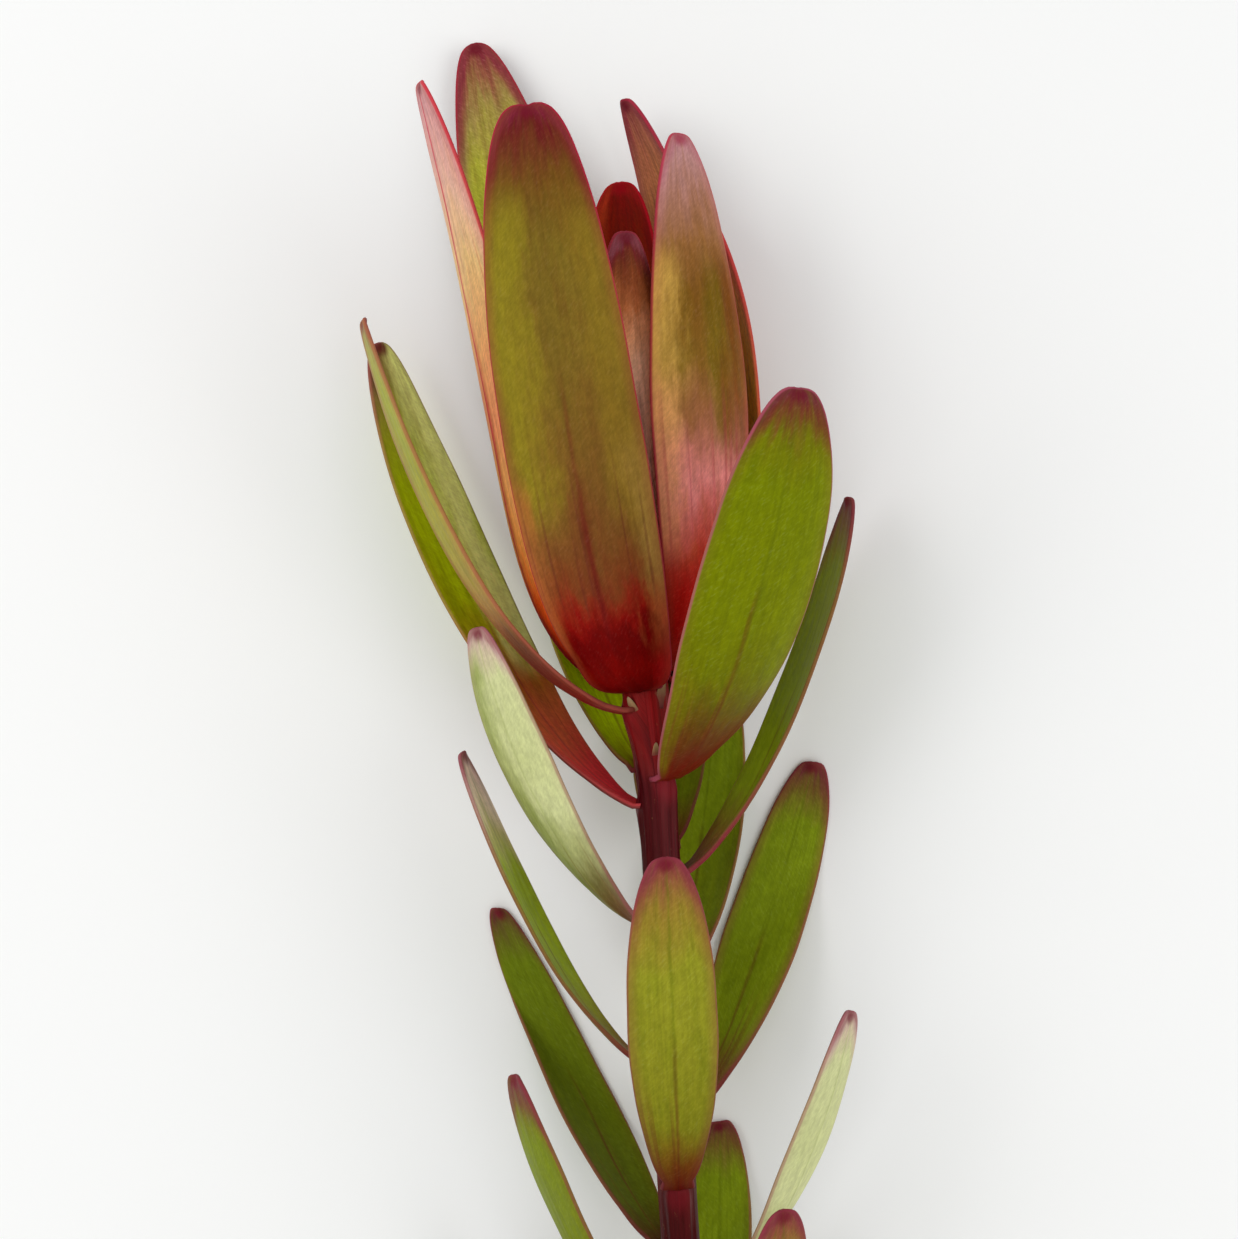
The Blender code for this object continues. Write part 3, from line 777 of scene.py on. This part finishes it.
leaves = [
    # (azimuth, footY, length, width, foot, mid, tip, turn, lean, twist), looks
    ((-76, -2.6, 75, 12, 76, 20, 6.5, 16.3, 1, 0), leafLook(
        outer=[
            (0.0, "#a8181e"), (0.08, "#a8302c"), (0.2, "#a04434"), (0.32, "#a4683c"), (0.42, "#a4883e"),
            (0.55, "#a2983a"), (0.7, "#9c9c36"), (0.85, "#a2a43e"), (0.95, "#a29c50"), (1.0, "#947448"),
        ],
        bands=[(-0.6, 0.9, 0.3, 0.95, "#985c38", 0.6)],
        inner=[
            (0.0, "#881820"), (0.1, "#94382c"), (0.22, "#8c4c24"), (0.36, "#988a2c"), (0.7, "#a2a43a"),
            (0.95, "#9c8450"), (1.0, "#8a4c4a"),
        ],
        margin="#b05c50", halo=0.2, haloColour="#a8643c",
    )),
    ((140, -4.0, 60, 12.5, 66, 26, 10, 10, 0, 0), leafLook()),
    ((-155, -12.0, 58, 12.5, 66, 24, 10, 10, 0, 0), leafLook(
        # the vivid green of the inner ramp is painted light on a leaf that the bracts' feet shade
        inner=[
            (0.0, "#742c08"), (0.06, "#a0a404"), (0.2, "#c8e404"), (0.85, "#a8c402"), (1.0, "#743620"),
        ],
        halo=0.1,
    )),
    ((32, -13.5, 69, 18.3, 78, 36.5, 17.5, 13, 5.5, 10), leafLook(
        outer=[
            (0.0, "#7c180c"), (0.07, "#761e0e"), (0.13, "#6e2c14"), (0.2, "#6a4010"), (0.28, "#6a5c0a"),
            (0.36, "#707402"), (0.5, "#757e00"), (0.8, "#737e00"), (0.88, "#747404"), (0.925, "#74481c"),
            (0.96, "#723024"), (1.0, "#6e2434"),
        ],
        bands=[
            (0.0, 0.07, 0.0, 0.5, "#6a2a10", 0.55),
            (-0.85, 0.4, 0.1, 0.3, "#7c7c06", 0.7),
            (0.02, 0.06, 0.4, 0.9, "#636f02", 0.4),
            (0.8, 0.3, 0.35, 0.8, "#848c14", 0.35),
        ],
        margin="#b4506a", line=0.65, haloColour="#7c4c28", halo=0.18,
    )),
    ((-108, -17.5, 87, 14, 66, 24.5, 10, 13, 3, 26), leafLook(
        outer=[
            (0.0, "#901c26"), (0.12, "#8a2020"), (0.22, "#84301c"), (0.32, "#80481a"), (0.42, "#7e6c14"),
            (0.54, "#7a8208"), (0.85, "#858232"), (0.93, "#84603a"), (1.0, "#703040"),
        ],
        # the inner ramp is painted far lighter than the tissue: painted light on a shaded inner face
        inner=[
            (0.0, "#f42c44"), (0.12, "#ec4444"), (0.22, "#e06c40"), (0.32, "#b86824"), (0.4, "#b4a818"),
            (0.5, "#b4d008"), (0.72, "#aac804"), (0.84, "#a0ac24"), (0.93, "#988844"), (1.0, "#7c4a44"),
        ],
        bands=[
            # a pale band over one half of the channelled leaf: painted sheen where that half turns to the
            # light
            (-0.65, 0.75, 0.4, 1.0, "#ecfa94", 0.95),
            (0.0, 0.08, 0.0, 0.4, "#94283a", 0.4),
        ],
        halo=0.05, margin="#a05450",
        fan={"colour": "#8c2c2c", "from": 0.02, "to": 0.42, "strength": 0.2},
    )),
    ((171, -24.5, 43, 12, 54, 22, 8, 10, 0, 0), leafLook()),
    ((104, -28.0, 66, 14, 62, 27, 12, 10, 0, 0), leafLook(
        outer=[
            (0.0, "#720814"), (0.12, "#82181e"), (0.22, "#7e4820"), (0.34, "#7c7410"), (0.8, "#7e820e"),
            (0.91, "#7e5428"), (1.0, "#6c2834"),
        ],
    )),
    ((-68, -35.5, 54, 13, 66, 26.5, 11, 10, 0, -17), leafLook(
        paleLeaf,
        # the first band darkens the left side of the folded leaf: painted shade where that side turns from
        # the light
        bands=[(-0.95, 1.35, 0.1, 0.86, "#86923c", 0.85), (0.02, 0.06, 0.0, 0.9, "#a8b068", 0.4)],
    )),
    ((158, -45.0, 54, 13.5, 58, 26, 10, 9, 0, 0), leafLook()),
    ((-88, -57.0, 57, 10.5, 60, 23, 17, 11, 0, 13), leafLook(
        outer=[
            (0.0, "#681810"), (0.14, "#70681c"), (0.35, "#727c22"), (0.62, "#788226"), (0.8, "#a09a66"),
            (0.93, "#c8b49e"), (1.0, "#a4707c"),
        ],
        inner=[
            (0.0, "#8c2418"), (0.14, "#8a801c"), (0.35, "#98ac10"), (0.64, "#a0b414"), (0.76, "#c8c078"),
            (0.86, "#ecd8bc"), (0.95, "#e4c8bc"), (1.0, "#b07c80"),
        ],
    )),
]

# what the spiral's leaves share
leafTones = {
    "grown leaf waxy tissue": leafLook(),
    "pale leaf waxy tissue": leafLook(paleLeaf),
    "old leaf waxy tissue": leafLook(
        outer=[
            (0.0, "#54140c"), (0.1, "#584412"), (0.25, "#5a6a06"), (0.82, "#5f7008"), (0.93, "#64501c"),
            (1.0, "#5c2430"),
        ],
        inner=[(0.0, "#54200c"), (0.15, "#606a0c"), (0.85, "#6a7a12"), (1.0, "#602c2c")],
    ),
    "sunlit leaf waxy tissue": leafLook(
        outer=[
            (0.0, "#741810"), (0.1, "#7c4414"), (0.25, "#86841c"), (0.7, "#929224"), (0.85, "#967a2c"),
            (0.93, "#8c4c38"), (1.0, "#802c40"),
        ],
        halo=0.35, haloColour="#8c4438",
    ),
}


def spiralLeaves():
    # the listed rows, and then leaves that are each a golden angle on, a pitch lower and a little
    # smaller, with seeded variation
    rows, rules = [row for row, _ in leaves], leafRows
    firstAzimuth = rows[-1][0]
    rng = np.random.default_rng(rules["seed"])
    for number in range(rules["spiralCount"]):
        vary = rng.uniform(-1.0, 1.0, 7) * rules["variation"]
        azimuth = firstAzimuth - rules["goldenAngle"] * (number + 1) + vary[0]
        footY = rules["spiralStart"] - rules["pitch"] * number + vary[1]
        size = 1.0 - rules["taper"] * number
        length, width = (rules["length"] + vary[2]) * size, (rules["width"] + vary[3]) * size
        foot, mid = rules["foot"] + vary[4], rules["mid"] + vary[5]
        tip = rules["tip"] + vary[5] * rules["tipVariation"]
        rows.append((azimuth, footY, length, width, foot, mid, tip, rules["turn"], 0, vary[6]))
    return rows


def addLeaves(rows):
    # the first leaves have a tissue each, and the spiral's take turns with the shared ones
    rules, tones = leafRows, []
    for number, (name, looks) in enumerate(leafTones.items()):
        looks.update(length=rules["length"], half=rules["width"] / 2)
        tones.append(tissueMaterial(name, looks, rules["tonePatterns"] + number))
    step, turn = rules["toneSteps"]
    for number, row in enumerate(rows, start=1):
        blade = {**dict(zip(rules["names"], row)), **rules["shape"]}
        node = f"leaf_{number:02d}"
        if number <= len(leaves):
            looks = leaves[number - 1][1]
            looks.update(length=blade["length"], half=blade["width"] / 2)
            material = tissueMaterial(node + " waxy leaf tissue", looks, rules["patternShift"] + number)
            blade["cells"] = rules["fineCells"]
        else:
            material = tones[(number * step + number // turn) % len(tones)]
            blade["cells"] = rules["plainCells"]
        addBlade(blade, node, material, "leaf", rules["bladeSeed"] + number)
    print("leaves made:", len(rows))


# The stem: young leucadendron bark, a smooth red-purple grown skin with lengthwise fibres and a few corky
# buff flecks, raised into a cushion under each leaf. It gives a satin gleam, and its cut end is pale wood.

bark = {
    "stops": [
        (0.0, "#54301a"), (0.25, "#562416"), (0.5, "#561614"), (0.75, "#500c12"), (0.9, "#4a0610"),
        (0.938, "#520a14"), (0.952, "#841216"), (0.972, "#961216"), (1.0, "#741c10"),
    ],
    # noise cells a millimetre round and up the stem, detail, roughness
    "patches": ((0.25, 0.05, 0.0), 3.0, 0.5),
    "fibres": ((2.4, 0.05, 0.0), 4.0, 0.6),
    "cork": ((0.9, 0.5, 0.0), 4.0, 0.7),
    "sway": 0.008,  # share of the length by which the patches move the colours
    "fibreLight": (0.72, 1.3),
    "tints": [
        # colour, start, end and strength, for the patches, the cork flecks and the cushions
        ("#84262a", 0.5, 0.75, 0.4), ("#a06c48", 0.63, 0.72, 0.45), ("#861624", 0.15, 0.8, 0.6),
    ],
    "wood": [
        (0.0, "#a88f5c"), (0.2, "#a88f5c"), (0.26, "#c9b78c"), (0.82, "#c9b78c"), (0.88, "#7d7a2c"),
        (0.95, "#5c3a22"),
    ],
    "rings": 30.0,  # radians from the middle of the cut to its edge
    "ringLight": (0.9, 1.06),
    "roughness": (0.34, 0.52),
    "cutRoughness": 0.3,  # more on the cut
    "corkHeight": 0.6,  # of the cork beside the fibres
    "bump": (0.6, 0.00018),  # strength, and height in metres
    "shader": {"Specular IOR Level": 0.16, "Specular Tint": "#ffd8c4"},
}


def barkColours(tree):
    # a ramp up the stem, times the fibres, with redder patches, cork flecks and cushions; rings on the cut
    place = addNode(tree, "Attribute", out=1, attribute_name="place")
    rim = addNode(tree, "Attribute", out=1, attribute_name="rim")
    share = addNode(tree, "SeparateXYZ", place, out=2)
    cushion, end, fromMiddle = addNode(tree, "SeparateXYZ", rim).node.outputs
    patches, fibres, cork = [
        stretchedNoise(tree, place, *bark[pattern]) for pattern in ("patches", "fibres", "cork")
    ]
    sway = addNode(tree, "MapRange", patches, *noiseSpan, -bark["sway"], bark["sway"], **smooth)
    colour = addNode(tree, "ValToRGB", addNode(tree, "Math", share, sway), stops=bark["stops"])
    colour = shaded(tree, colour, fibres, *bark["fibreLight"], **smooth)
    for value, (code, start, stop, strength) in zip((patches, cork, cushion), bark["tints"]):
        colour = tinted(tree, colour, code, value, start, stop, 0.0, strength)
    rings = addNode(tree, "Math", fromMiddle, bark["rings"], **product)
    rings = addNode(tree, "Math", rings, operation="SINE")
    rings = addNode(tree, "MapRange", rings, -1.0, 1.0, *bark["ringLight"])
    wood = addNode(tree, "ValToRGB", fromMiddle, stops=bark["wood"])
    wood = addNode(tree, "Mix", 1.0, wood, rings, **shade)
    rough = addNode(tree, "MapRange", fibres, *noiseSpan, *bark["roughness"])
    height = addNode(tree, "Math", cork, bark["corkHeight"], fibres, **productSum)
    return {
        "Base Color": addNode(tree, "Mix", end, colour, wood, **tint),
        "Roughness": addNode(tree, "Math", end, bark["cutRoughness"], rough, **productSum),
        "Normal": addNode(tree, "Bump", *bark["bump"], None, height),
    }


def addStem(rows):
    # rings round the axis at the stem's radius, raised under each leaf by a bell and below it by two ridges
    # that fade, with furrows as a sum of sines; the ends close by shrinking rings
    shape = stemShape
    body = np.linspace(-shape["length"], shape["receptacleTop"], shape["rows"])
    shrink = np.array(shape["closing"])
    y = np.concatenate([np.full(len(shrink), body[0]), body, np.full(len(shrink), body[-1])])
    scale = np.concatenate([shrink, np.ones(len(body)), shrink[::-1]])[:, None]
    turn, far = np.meshgrid(np.linspace(0.0, 2 * math.pi, shape["columns"], endpoint=False), y)
    base = stemRadius(far)
    relief = np.zeros_like(far)
    cushions = np.zeros_like(far)
    sideways, down, upwards = shape["cushionReach"]
    ridgeMm, ridgeWidth = shape["ridgePlace"]
    for azimuth, footY, *_ in rows:
        aside = (np.mod(turn - math.radians(azimuth) + math.pi, 2 * math.pi) - math.pi) * base
        below = footY - far
        swell = bell(aside, sideways) * bell(below, np.where(below > 0, down, upwards))
        ridge = bell(aside - ridgeMm, ridgeWidth) + bell(aside + ridgeMm, ridgeWidth)
        ridge *= smoothStep(below / shape["ridgeStart"]) * smoothStep(1 - below / shape["ridgeLength"])
        relief += shape["cushion"] * swell + shape["ridge"] * ridge
        cushions = np.maximum(cushions, swell)
    rng = np.random.default_rng(shape["furrowSeed"])
    for count in shape["furrows"]:
        phase = rng.uniform(0, 2 * math.pi)
        drift = shape["furrowDrift"] * far * rng.uniform(-1, 1)
        relief += shape["furrow"] / count * np.sin(count * turn + phase + drift)
    relief *= smoothStep((shape["receptacleTop"] - far) / shape["plainTop"])
    bevel, bevelReach = shape["bevel"]
    radius = (base + relief) * scale * (1 - bevel * bell(far + shape["length"], bevelReach))
    origin, along, up, right = axisFrame(y)
    grid = origin[:, None] + (radius * np.cos(turn))[..., None] * up[:, None]
    grid = grid + (radius * np.sin(turn))[..., None] * right[:, None]
    grid[..., 2] = np.maximum(grid[..., 2], shape["tableGap"])
    isEnd = (np.arange(len(y)) < len(shrink))[:, None]
    share = (far + shape["length"]) / (shape["length"] + shape["receptacleTop"])
    place, rim = sideBySide(turn * base, far, share), sideBySide(cushions, isEnd, scale)
    material = finishMaterial("young red bark, smooth grown skin", barkColours, **bark["shader"])
    faces = closedTube(len(y), shape["columns"])
    addPiece("stem_shoot", grid, faces, material, "stem_bark", ("stem",), place=place, rim=rim)
    print("stem made")


# Small dry scales under the head: papery grown skin, red where they leave the bark and buff at their tips

neckScales = {
    # azimuth, foot y, length, width
    "rows": [
        (-38, -4.5, 4.0, 3.0), (44, -3.0, 5.0, 3.2), (10, -10.5, 2.6, 1.8), (-120, -6, 4.0, 3.0),
        (128, -7, 4.0, 3.0),
    ],
    "stops": [(0.0, "#741818"), (0.35, "#904a34"), (0.7, "#b08a5c"), (1.0, "#c8aa80")],
    "fibres": ((3.0, 0.4, 0.0), 3.0, 0.5),  # cells a millimetre across and along, detail, roughness
    "fibreLight": (0.8, 1.15),
    "roughness": 0.7,
    "sunk": 0.25,  # mm that the foot's middle lies under the bark
    "stand": 0.55,  # mm that the tip rises evenly from there
    "rise": 0.9,  # mm that it bends off the neck besides
    "halfThickness": 0.22,
    "taper": 0.4,
    "lastShare": 0.999,  # the tip ends just short of a point
    "steps": (13, 16),
}


def scaleColours(tree):
    # a ramp from the foot to the tip, times the fibres
    place = addNode(tree, "Attribute", out=1, attribute_name="place")
    share = addNode(tree, "SeparateXYZ", place, out=2)
    fibres = stretchedNoise(tree, place, *neckScales["fibres"])
    colour = addNode(tree, "ValToRGB", share, stops=neckScales["stops"])
    return {"Base Color": shaded(tree, colour, fibres, *neckScales["fibreLight"])}


def addNeckScales():
    # each is a thin closed blade close to the neck, whose half width is
    # width / 2 * sqrt(1 - share) * (1 - taper * share)
    shape = neckScales
    rows, columns = shape["steps"]
    shares = np.linspace(0.0, 1.0, rows)[:, None]
    turns = np.linspace(0, 2 * math.pi, columns, endpoint=False)[None, :]
    profile = np.sqrt(1 - shares * shape["lastShare"]) * (1 - shape["taper"] * shares)
    lift = shape["stand"] * shares + shape["rise"] * shares**2 - shape["sunk"]
    lift = lift + shape["halfThickness"] * np.sin(turns) * (1 - shares)
    grids, faces, places = [], [], []
    for number, (azimuth, footY, length, width) in enumerate(shape["rows"]):
        origin, along, up, right = axisFrame(np.float64(footY))
        aside = width / 2 * profile * np.cos(turns)
        angle = math.radians(azimuth) + aside / stemRadius(footY)
        out = np.cos(angle)[..., None] * up + np.sin(angle)[..., None] * right
        grid = origin + out * (stemRadius(footY) + lift)[..., None]
        grids.append(grid + (length * shares)[..., None] * along)
        start = number * rows * columns
        faces += [[corner + start for corner in face] for face in closedTube(rows, columns)]
        places.append(sideBySide(aside, length * shares, shares))
    material = finishMaterial("dry scale, papery grown skin", scaleColours, Roughness=shape["roughness"])
    addPiece("neck_scales", np.stack(grids), faces, material, "stem_bark", place=np.stack(places))
    print("neck scales made")


# The cone: overlapping downy grown scales on crossing spirals, pale green with a rusty tip and matte down

coneShape = {
    "gap": 0.4,
    "length": 19.0,
    "radius": 5.6,
    "powers": (0.8, 0.6),  # of the height and of the sine in the profile
    "ends": 0.004,  # share of the height at which the profile stops short of its point
    "left": 8,
    "right": 13,
    "climb": 8.84,  # scales passed on each spiral from the cone's foot to its top
    "relief": 0.13,
    "overlap": 1.15,
    "heel": 0.25,  # share of its height that a scale has at its lower end
    "lip": 9,  # how sharply its upper tip drops
    "push": 0.35,  # mm that a scale leans up the cone
    "girth": 35.0,  # mm round the widest part
    "rows": 180,
    "columns": 168,
    "stops": [(0.0, "#6a5a28"), (0.35, "#a89c50"), (0.75, "#c4ba74"), (1.0, "#b0683c")],
    "down": (3.0, 3.0, 0.7),  # cells a millimetre, detail, roughness
    "downLight": (0.82, 1.16),
    "bump": (0.5, 0.00012),  # strength, and height in metres
    "shader": {"Roughness": 0.75, "Sheen Weight": 0.4},
}


def coneColours(tree):
    # a ramp from the gaps to the scales' tips, times the down
    place = addNode(tree, "Attribute", out=1, attribute_name="place")
    lifted = addNode(tree, "SeparateXYZ", place, out=2)
    down = addNode(tree, "TexNoise", place, *coneShape["down"])
    colour = addNode(tree, "ValToRGB", lifted, stops=coneShape["stops"])
    return {
        "Base Color": shaded(tree, colour, down, *coneShape["downLight"]),
        "Normal": addNode(tree, "Bump", *coneShape["bump"], None, down),
    }


def addCone():
    # the turned profile sin(pi h^0.8)^0.6, times a scale on each cell of two crossing spiral families:
    # a scale swells towards its upper tip and drops to the next
    shape = coneShape
    height = np.linspace(0.0, 1.0, shape["rows"])[:, None]
    turns = np.linspace(0.0, 1.0, shape["columns"], endpoint=False)[None, :]
    around = turns * 2 * math.pi
    heightPower, sinePower = shape["powers"]
    profile = np.clip(height, shape["ends"], 1 - shape["ends"]) ** heightPower
    profile = np.sin(math.pi * profile) ** sinePower
    first = (shape["left"] * turns + shape["climb"] * height) % 1.0
    second = (-shape["right"] * turns + shape["climb"] * height) % 1.0
    upward = (first + second) / 2
    lifted = smoothStep(shape["overlap"] - np.abs(first - second))
    lifted *= (shape["heel"] + (1 - shape["heel"]) * upward) * smoothStep((1.0 - upward) * shape["lip"])
    radius = shape["radius"] * profile * (1.0 + shape["relief"] * lifted)
    climb = shape["length"] * height + shape["push"] * lifted * (1 - height) * profile
    origin, along, up, right = axisFrame(np.float64(stemShape["receptacleTop"] + shape["gap"]))
    grid = origin + climb[..., None] * along
    grid = grid + (radius * np.cos(around))[..., None] * up + (radius * np.sin(around))[..., None] * right
    place = sideBySide(turns * shape["girth"], height * shape["length"], lifted)
    material = finishMaterial("cone scale, downy grown skin", coneColours, **shape["shader"])
    faces = closedTube(shape["rows"], shape["columns"])
    addPiece("cone_scales", grid, faces, material, "cone_scale", ("cone",), place=place)
    print("cone made")


# The table, a matte painted board, with the lights

studio = {
    "tableSize": 6.0,
    "tableColour": "#f9f9f6",
    "grain": (900.0, 2.0),  # cells a metre, detail
    "bump": (0.08, 0.0001),  # strength, and height in metres
    "roughness": 0.85,
    "worldColour": "#f6f7fa",
    "worldStrength": 0.74,
    "lamps": [
        # name, place from the head in metres, width, power in watts
        ("key", (-0.85, 0.25, 0.75), 0.9, 4.7),
        ("fill", (0.85, -0.25, 0.75), 1.0, 3.3),
    ],
}


def boardGrain(tree):
    # fine even grain of the paint
    grain = addNode(tree, "TexNoise", addNode(tree, "TexCoord", out=3), *studio["grain"])
    return {"Normal": addNode(tree, "Bump", *studio["bump"], None, grain)}


def addStudio(headFoot):
    # the table at height 0, round lamps that look at the head's foot, and an even sky
    mesh = bpy.data.meshes.new("table")
    far = studio["tableSize"] / 2
    mesh.from_pydata([(-far, -far, 0), (far, -far, 0), (far, far, 0), (-far, far, 0)], [], [(0, 1, 2, 3)])
    values = {"Base Color": studio["tableColour"], "Roughness": studio["roughness"]}
    mesh.materials.append(finishMaterial("matte painted board", boardGrain, **values))
    table = bpy.data.objects.new("table", mesh)
    bpy.context.scene.collection.objects.link(table)
    for name, offset, width, power in studio["lamps"]:
        light = bpy.data.lights.new(name, "AREA")
        light.shape, light.size, light.energy = "DISK", width, power
        lamp = bpy.data.objects.new(name, light)
        lamp.location = headFoot + Vector(offset)
        lamp.rotation_mode = "QUATERNION"
        lamp.rotation_quaternion = Vector(offset).to_track_quat("Z", "Y")
        bpy.context.scene.collection.objects.link(lamp)
    world = bpy.data.worlds.new("studio")
    world.use_nodes = True
    background = world.node_tree.nodes["Background"]
    background.inputs["Color"].default_value = linearColour(studio["worldColour"])
    background.inputs["Strength"].default_value = studio["worldStrength"]
    bpy.context.scene.world = world
    bpy.context.scene.view_settings.view_transform = "Standard"
    print("studio made")


view = {
    "pixelsPerMm": 6.5,  # at the stem's axis
    "distance": 330.0,
    "roll": 7.0,  # the head leans left going up the picture
    "headFootPixel": (645.0, 691.0),
    "sensor": 36.0,
    "clip": (0.01, 20.0),
}


def addCamera():
    # straight above the head's foot, turned by the roll, and aimed a little past the foot so that it
    # falls on its pixel; the lens gives the picture's width at that distance
    origin, along, up, right = axisFrame(np.float64(0.0))
    roll = math.radians(view["roll"])
    pictureRight = math.cos(roll) * right - math.sin(roll) * along
    pictureUp = math.sin(roll) * right + math.cos(roll) * along
    scale = view["pixelsPerMm"]
    aside = (imageWidth / 2 - view["headFootPixel"][0]) / scale
    above = (view["headFootPixel"][1] - imageHeight / 2) / scale
    back = Vector(view["distance"] * up - aside * pictureRight - above * pictureUp).normalized()
    across = Vector(pictureUp).cross(back).normalized()
    turn = Matrix([across, back.cross(across), back]).transposed()
    headFoot = Vector((origin - np.array([*stemShape["middle"], 0.0])) * mm)
    data = bpy.data.cameras.new("camera")
    data.sensor_width = view["sensor"]
    data.lens = view["sensor"] * view["distance"] / (imageHeight / scale)
    data.clip_start, data.clip_end = view["clip"]
    camera = bpy.data.objects.new("camera", data)
    spot = headFoot + Vector(view["distance"] * mm * up)
    camera.matrix_world = Matrix.Translation(spot) @ turn.to_4x4()
    bpy.context.scene.collection.objects.link(camera)
    bpy.context.scene.camera = camera
    return headFoot


headFoot = addCamera()
addStudio(headFoot)
leafPlaces = spiralLeaves()
addStem(leafPlaces)
addNeckScales()
addCone()
addBracts()
addLeaves(leafPlaces)

bpy.context.view_layer.update()
